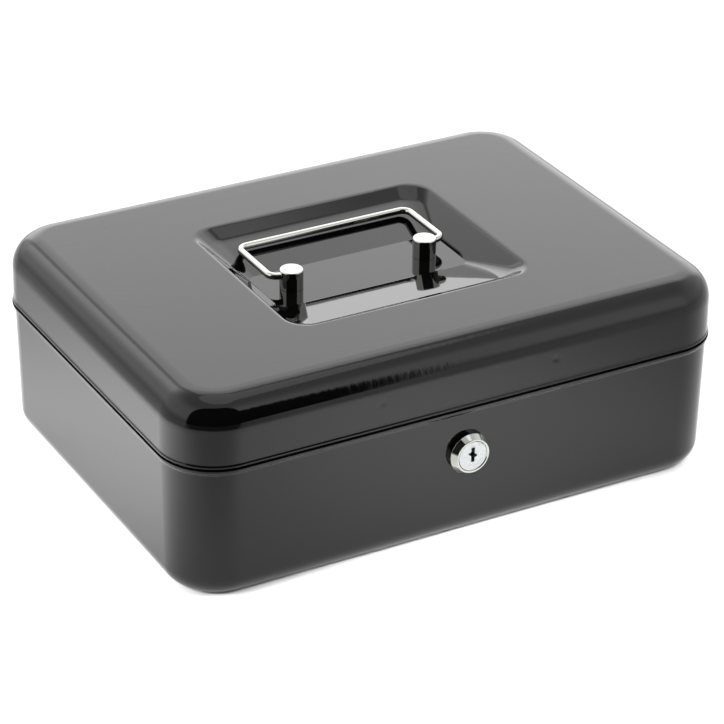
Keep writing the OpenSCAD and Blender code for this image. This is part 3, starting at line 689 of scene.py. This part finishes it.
FINISHES = {
    "black_gloss_paint": black_gloss_paint(),
    "black_satin_paint": black_satin_paint(),
    "chrome": plated("chrome", (0.385, 0.39, 0.365), 0.05),
    "satin_plug": satin_plug(),
    "zinc_plate": plated("zinc_plate", (0.38, 0.385, 0.392), 0.32, grain=(1, 0.2, 1), depth=0.004),
    "brass": plated("brass", (0.52, 0.39, 0.19), 0.25, grain=(1, 1, 0.2), depth=0.003),
    "spring_steel": plated("spring_steel", (0.38, 0.38, 0.39), 0.25, depth=0.002),
    "tray_plastic": tray_plastic(),
}


def dress(piece, slot):
    piece.data.materials.clear()
    piece.data.materials.append(FINISHES[slot])


slots = {part["node"]: part["material_slot"] for part in frame["record"]["subparts"]}
for node, piece in frame["nodes"].items():
    dress(piece, slots[node])

dress(add_lid(), "black_gloss_paint")
dress(add_base(), "black_gloss_paint")
dress(add_bail(), "chrome")
dress(add_bezel(), "chrome")
dress(add_post("post_left", "handle_post_left"), "chrome")
dress(add_post("post_right", "handle_post_right"), "chrome")

# ---- Studio -------------------------------------------------------------------------------------

STAGE_HALF = 6.0              # half the side of the floor, in metres

# The floor's painted light and shade by place, in millimetres. Its brightest part, a painted pool of light,
# lies round a point beside the box.
POOL_OF_LIGHT_AT = (-150, 60)
BRIGHT, PALE = 0.8, 0.74
POOL_OF_LIGHT_TO, PALE_FROM = 320, 420
FAR_GAIN, FAR_FROM = 1.05, 1400

# A sector of the floor in front of the box and to its left is painted dark: painted shade that stands for the
# unlit side of a studio. It lies between two azimuths, in degrees, from a point under the box's front left
# corner.
PAINTED_SHADE_AT = (-115, -80)
PAINTED_SHADE_FROM, PAINTED_SHADE_TO = 157, -103
PAINTED_SHADE_START, PAINTED_SHADE_FULL = 235, 300
PAINTED_SHADE_SHARE = 0.9
PAINTED_SHADE_SOFT = 45

ARCH_POWER = 3.0              # 2 would give the arch an elliptic top, and more squares it


def floor_way(sheet, start):
    """Ways east and north from a point on the floor, and the distance."""
    east = sheet.calc("SUBTRACT", sheet.along("X"), start[0])
    north = sheet.calc("SUBTRACT", sheet.along("Y"), start[1])
    squares = sheet.calc("ADD", sheet.product(east, east), sheet.product(north, north))
    return east, north, sheet.calc("SQRT", squares)


def right_on_floor(sheet, east, north, azimuth):
    """1 on the right of a line that runs along an azimuth."""
    a = math.radians(azimuth)
    across = sheet.calc("SUBTRACT", sheet.product(east, math.cos(a)), sheet.product(north, math.sin(a)))
    return sheet.to_range(across, 0, 1, -PAINTED_SHADE_SOFT, PAINTED_SHADE_SOFT)


def floor_finish():
    """Pale and nearly even, apart from a faint painted pool of light beside the box and a sector of painted
    shade that the walls of the box mirror.
    """
    sheet = Finish("floor", (BRIGHT, BRIGHT, BRIGHT), 0, 0.9)
    _, _, away = floor_way(sheet, POOL_OF_LIGHT_AT)
    # painted pool of light: the floor is lightest round a point beside the box, and a little lighter again
    # far off
    painted_pool = sheet.to_range(away, BRIGHT, PALE, POOL_OF_LIGHT_TO, PALE_FROM)
    far = sheet.to_range(away, 1, FAR_GAIN, PALE_FROM, FAR_FROM)
    # painted shade: a dark sector of the floor in front of the box and to its left, which the box's paint
    # mirrors
    east, north, away = floor_way(sheet, PAINTED_SHADE_AT)
    first = right_on_floor(sheet, east, north, PAINTED_SHADE_FROM)
    second = right_on_floor(sheet, east, north, PAINTED_SHADE_TO)
    reach = sheet.to_range(away, 0, PAINTED_SHADE_SHARE, PAINTED_SHADE_START, PAINTED_SHADE_FULL)
    dark = sheet.product(first, reach, sheet.without(second))
    shade = sheet.product(painted_pool, far, sheet.without(dark))
    grey = sheet.add("ShaderNodeCombineColor", {"Red": shade, "Green": shade, "Blue": shade})
    sheet.tree.links.new(grey.outputs["Color"], sheet.shader.inputs["Base Color"])
    return sheet.material


def add_floor():
    half = STAGE_HALF
    corners = [(-half, -half, 0), (half, -half, 0), (half, half, 0), (-half, half, 0)]
    mesh = bpy.data.meshes.new("floor")
    mesh.from_pydata(corners, [], [(0, 1, 2, 3)])
    mesh.materials.append(floor_finish())
    floor = bpy.data.objects.new("floor", mesh)
    bpy.context.scene.collection.objects.link(floor)


def heading(azimuth, elevation=0):
    """A direction from the box, from angles in degrees."""
    a, e = math.radians(azimuth), math.radians(elevation)
    return Vector((math.sin(a) * math.cos(e), math.cos(a) * math.cos(e), math.sin(e)))


class Sky(Nodes):
    """The studio round the box, as brightness by direction, with all angles in degrees.

    Azimuth 0 is behind the box and 90 to its right. Panels are cut out by planes through the box, and
    soft is half the width of a shape's blurred edge.
    """

    def __init__(self):
        world = bpy.data.worlds.new("studio")
        bpy.context.scene.world = world
        world.use_nodes = True
        super().__init__(world.node_tree)
        self.background = self.tree.nodes["Background"]
        self.background.inputs["Color"].default_value = (1, 1, 1, 1)
        self.direction = self.tree.nodes.new("ShaderNodeTexCoord").outputs["Generated"]
        self.height = self.along((0, 0, 1))

    def along(self, way):
        """Part of the direction along a way."""
        inputs = {0: self.direction, 1: Vector(way).normalized()}
        return self.add("ShaderNodeVectorMath", inputs, "DOT_PRODUCT").outputs["Value"]

    def step(self, source, start, end):
        """0 at start and 1 at end, smooth between."""
        node = self.add("ShaderNodeMapRange", {"Value": source, "From Min": start, "From Max": end})
        node.interpolation_type = "SMOOTHSTEP"
        return node.outputs["Result"]

    def facing(self, way, soft):
        """1 on the side of a plane through the box that a way points to."""
        return self.step(self.along(way), -math.radians(soft), math.radians(soft))

    def right_of(self, azimuth, soft):
        """1 on the right side of an upright plane."""
        return self.facing(heading(azimuth + 90), soft)

    def left_of(self, azimuth, soft):
        return self.without(self.right_of(azimuth, soft))

    def below(self, azimuth, elevation, soft):
        """1 under the top edge of an upright panel that stands across an azimuth."""
        return self.facing(heading(azimuth, elevation - 90), soft)

    def side(self, first, second, soft):
        """1 on the right of the line from one direction to another, seen from the box."""
        return self.facing(heading(*first).cross(heading(*second)), soft)

    def disc(self, azimuth, elevation, radius, soft):
        low, high = (math.cos(math.radians(radius + d)) for d in (soft, -soft))
        return self.step(self.along(heading(azimuth, elevation)), low, high)

    def level(self, low, high, soft):
        """1 between two elevations."""
        low, high = math.sin(math.radians(low)), math.sin(math.radians(high))
        soft = math.radians(soft)
        above = self.step(self.height, low - soft, low + soft)
        return self.product(above, self.step(self.height, high + soft, high - soft))

    def arch(self, azimuth, elevation, half_wide, half_high, soft):
        """1 inside an arch of directions: upright sides, rounded above an elevation.

        Here soft is a share of the arch's size.
        """
        turn = self.calc("ARCTAN2", self.along(heading(azimuth + 90)), self.along(heading(azimuth)))
        rise = self.calc("SUBTRACT", self.calc("ARCSINE", self.height), math.radians(elevation))
        across = self.calc("DIVIDE", turn, math.radians(half_wide))
        up = self.calc("DIVIDE", self.calc("MAXIMUM", rise, 0.0), math.radians(half_high))
        powers = [self.calc("POWER", self.calc("ABSOLUTE", share), ARCH_POWER) for share in (across, up)]
        return self.step(self.calc("ADD", *powers), 1 + soft, 1 - soft)

    def shine(self, parts, shade):
        """Adds up the parts and dims them where the shade is."""
        total = 0.0
        for part in parts:
            total = self.calc("ADD", total, part)
        total = self.product(total, self.without(shade))
        self.tree.links.new(total, self.background.inputs["Strength"])


def add_world():
    """An even room with brighter and darker parts, which the paint mirrors."""
    sky = Sky()
    even = 1.05
    right_side = sky.product(0.55, sky.right_of(62, soft=6), sky.right_of(-43, soft=6))
    walls = sky.product(0.9, sky.level(11, 50, soft=8), sky.without(right_side))
    ceiling = sky.disc(60, 81, radius=20, soft=1.2)
    sector = sky.product(sky.right_of(3, soft=2.5), sky.left_of(62, soft=7))
    panel = sky.product(sector, sky.below(12, 63, soft=2.5))
    behind = sky.product(0.85, panel)
    low = sky.product(0.6, sky.level(-12, 21, soft=7), sector)
    glow = sky.product(0.9, sky.level(38, 62, soft=5), panel)
    beside = sky.product(1.7, sky.right_of(-24, soft=9), sky.left_of(-6, soft=2.5), sky.level(26, 45, soft=9))
    opening = sky.arch(-156.2, 24, half_wide=54, half_high=39, soft=0.1)
    dark = sky.product(0.985, opening, sky.side((154.3, 0), (148.6, 40), soft=1.2))
    sky.shine([even, walls, ceiling, behind, low, glow, beside], dark)


def add_lamp(name, at, aim, size, spread, power):
    """A soft lamp that lights the floor and the dull surfaces."""
    data = bpy.data.lights.new(name, "AREA")
    data.shape = "DISK"
    data.size = size
    data.spread = math.radians(spread)
    data.energy = power
    lamp = bpy.data.objects.new(name, data)
    lamp.visible_glossy = False
    bpy.context.scene.collection.objects.link(lamp)
    back = (Vector(at) - Vector(aim)).normalized()
    lamp.matrix_world = Matrix.LocRotScale(Vector(at), back.to_track_quat("Z", "Y"), None)


add_floor()
add_world()
add_lamp("lamp_front", (0.1, -0.35, 0.25), (0.02, -0.15, 0.0), size=0.2, spread=36, power=0.25)
add_lamp("lamp_left", (-0.45, -0.1, 0.25), (-0.19, 0.02, 0.0), size=0.2, spread=45, power=0.5)
add_lamp("lamp_right", (0.5, -0.05, 0.35), (0.16, -0.03, 0.0), size=0.3, spread=60, power=0.15)
bpy.context.scene.view_settings.view_transform = "Standard"
